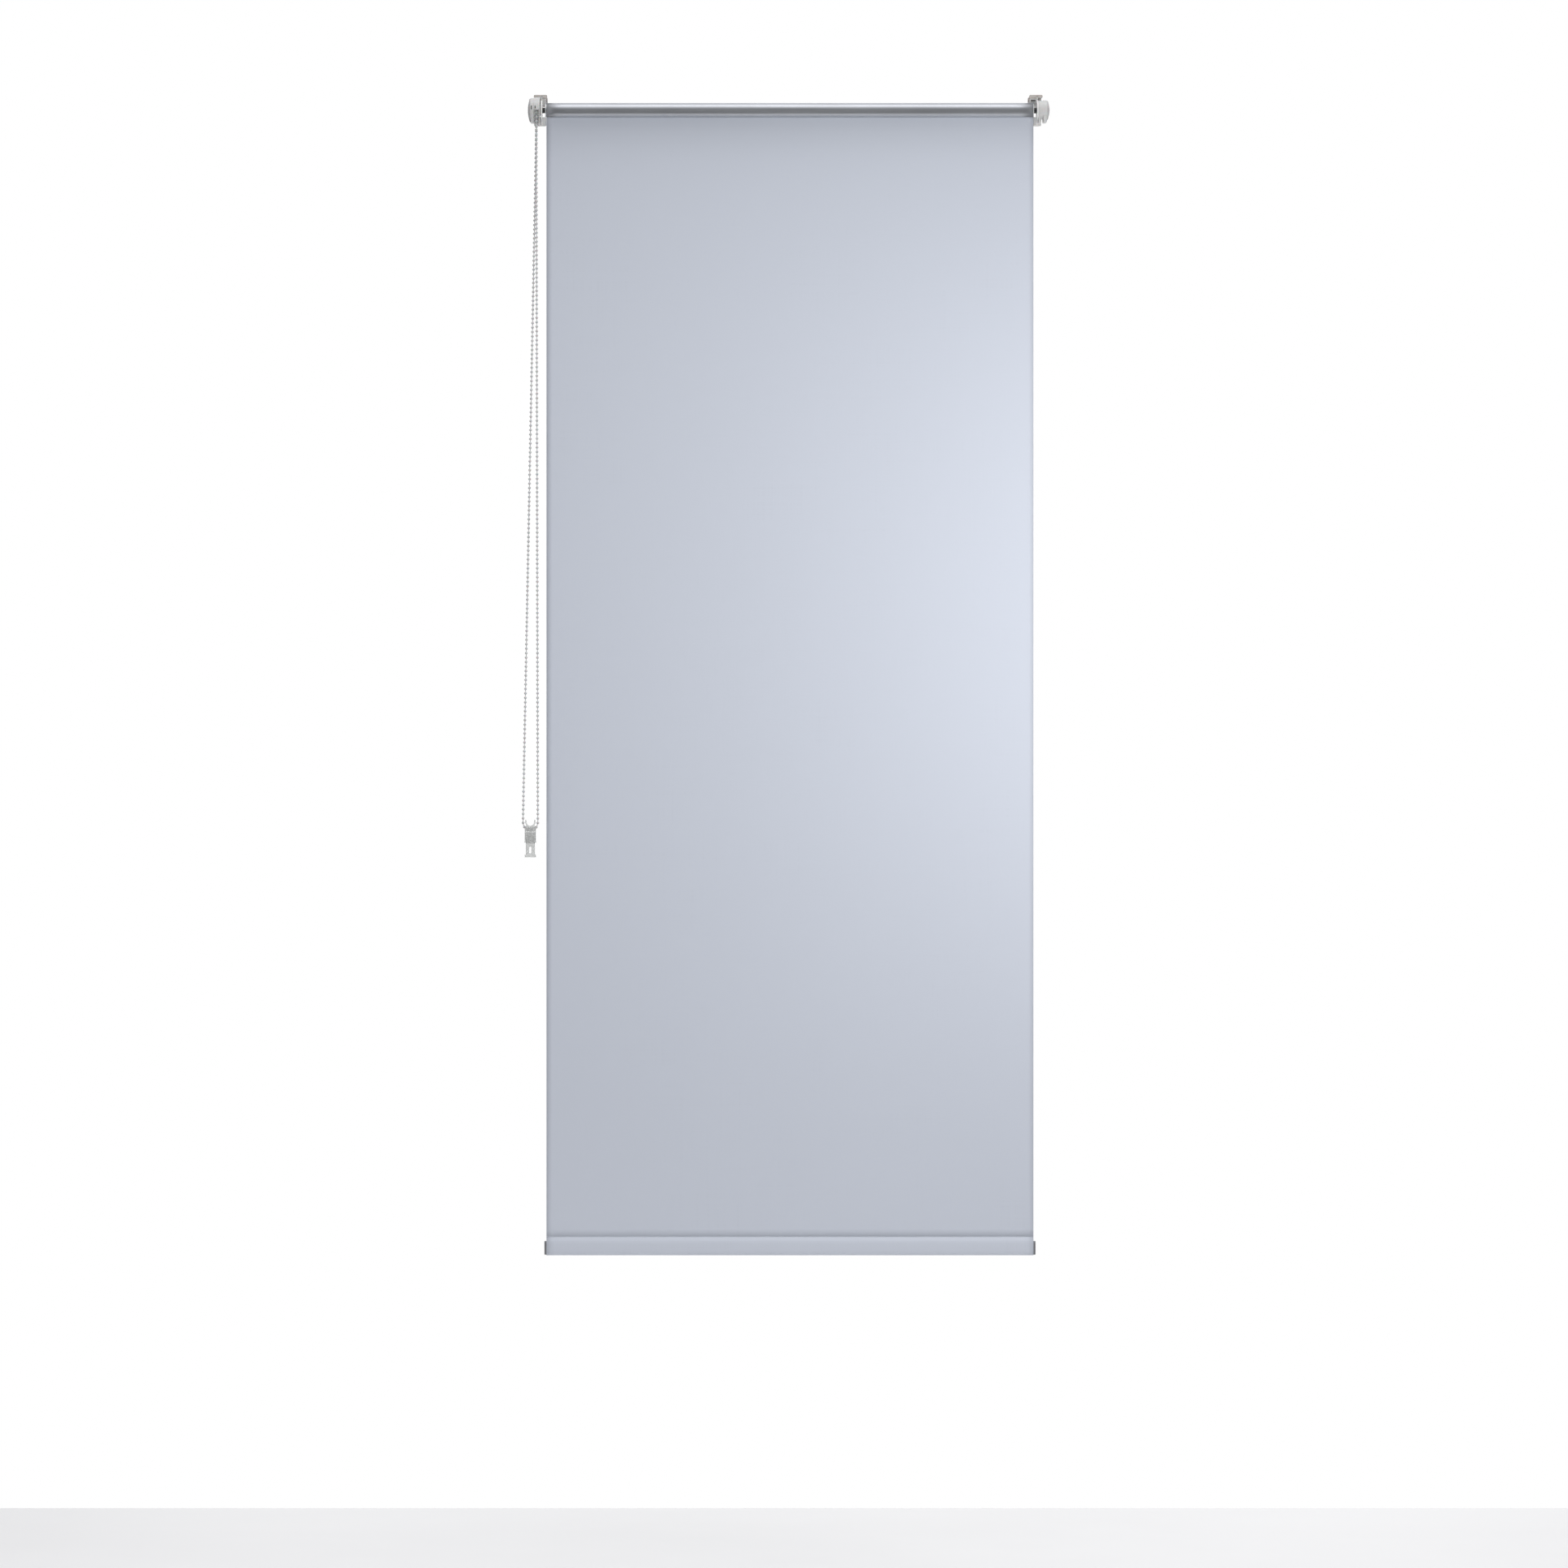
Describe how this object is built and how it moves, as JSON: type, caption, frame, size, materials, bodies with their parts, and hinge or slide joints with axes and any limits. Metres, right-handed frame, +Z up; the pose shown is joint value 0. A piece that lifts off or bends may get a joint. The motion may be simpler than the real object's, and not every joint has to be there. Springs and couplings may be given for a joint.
{
  "type": "roller blind",
  "caption": "Clamp-on roller blind for a window sash: silver-backed cloth on a thin tube, weighted hem, bead-chain drive with a wrap-spring brake and a chain tensioner.",
  "frame": {"origin": "mid width of the cloth, on the top front edge of the sash that the blind is clamped on", "axes": "+X along the roller to the right as seen from the room, +Y from the room towards the window, +Z up"},
  "size_m": [0.6499, 0.0573, 1.4295],
  "materials": {
    "white_plastic": "moulded, fine satin",
    "hook_plastic": "moulded, fine satin",
    "zinc_steel": "zinc plated",
    "foam_pad": "closed-cell foam",
    "black_plastic": "satin",
    "spring_steel": "drawn wire",
    "pale_plastic": "moulded",
    "tube_aluminium": "mill finish",
    "adhesive": "double-sided tape",
    "silver_backing": "silver reflective coating on the window side of the cloth",
    "blue_grey_fabric": "plain woven polyester, soft sheen",
    "grey_plastic": "moulded",
    "bead_plastic": "moulded beads on a polyester string",
    "clear_plastic": "clear, polished"
  },
  "bodies": {
    "brackets": {"left_carrier": "white_plastic", "left_clamp_nut": "zinc_steel", "left_sash_pads": "foam_pad", "right_carrier": "white_plastic", "right_clamp_nut": "zinc_steel", "right_sash_pads": "foam_pad", "drive_cover": "white_plastic", "drive_guard": "white_plastic", "brake_drum": "black_plastic", "wrap_springs": "spring_steel", "drive_axle": "zinc_steel", "idle_cover": "white_plastic", "idle_plate": "white_plastic", "fabric_panel": "blue_grey_fabric"},
    "roller": {"chain_wheel": "white_plastic", "drive_shaft": "black_plastic", "left_tube_plug": "pale_plastic", "roller_tube": "tube_aluminium", "fabric_tape": "adhesive", "wound_fabric": "silver_backing", "right_tube_plug": "pale_plastic", "idle_spring": "spring_steel"},
    "pin": {"idle_pin": "black_plastic"},
    "hem": {"hem_pocket": "blue_grey_fabric", "hem_bar": "pale_plastic", "left_hem_cap": "grey_plastic", "right_hem_cap": "grey_plastic"},
    "left_hook": {"left_clamp_hook": "hook_plastic", "left_hook_pad": "foam_pad"},
    "right_hook": {"right_clamp_hook": "hook_plastic", "right_hook_pad": "foam_pad"},
    "left_screw": {"left_clamp_screw": "zinc_steel"},
    "right_screw": {"right_clamp_screw": "zinc_steel"},
    "chain_loop": {"bead_chain": "bead_plastic", "chain_over_wheel": "bead_plastic", "tensioner_body": "clear_plastic"},
    "wall_base": {"tensioner_base": "clear_plastic"}
  },
  "joints": [
    {"name": "roller_spin", "type": "hinge", "parent": "brackets", "child": "roller", "pos_m": [0, -0.02, -0.016], "axis": [1, 0, 0], "range_deg": [0, 6390]},
    {"name": "hem_lift", "type": "slide", "parent": "brackets", "child": "hem", "axis": [0, 0, 1], "range_m": [0, 1.36], "deforming": ["fabric_panel"]},
    {"name": "pin_press", "type": "slide", "parent": "roller", "child": "pin", "axis": [-1, 0, 0], "range_m": [0, 0.0054], "stiffness_N_per_m": 400, "springref_m": -0.003, "deforming": ["idle_spring"]},
    {"name": "left_hook_slide", "type": "slide", "parent": "brackets", "child": "left_hook", "axis": [0, 1, 0], "range_m": [-0.004, 0.004]},
    {"name": "right_hook_slide", "type": "slide", "parent": "brackets", "child": "right_hook", "axis": [0, 1, 0], "range_m": [-0.004, 0.004]},
    {"name": "left_screw_turn", "type": "hinge", "parent": "brackets", "child": "left_screw", "pos_m": [-0.3104, -0.0052, 0], "axis": [0, 0, 1], "range_deg": [0, 720]},
    {"name": "right_screw_turn", "type": "hinge", "parent": "brackets", "child": "right_screw", "pos_m": [0.2999, -0.0052, 0], "axis": [0, 0, 1], "range_deg": [0, 720]},
    {"name": "chain_swing", "type": "hinge", "parent": "brackets", "child": "chain_loop", "pos_m": [-0.3121, -0.02, -0.016], "axis": [1, 0, 0], "range_deg": [-30, 0], "deforming": ["chain_over_wheel"]},
    {"name": "tensioner_slide", "type": "slide", "parent": "chain_loop", "child": "wall_base", "axis": [0, 0, 1], "range_m": [0, 0.005]}
  ],
  "couplings": [
    {"joint": "roller_spin", "follows": "hem_lift", "rad_per_m": 82}
  ]
}
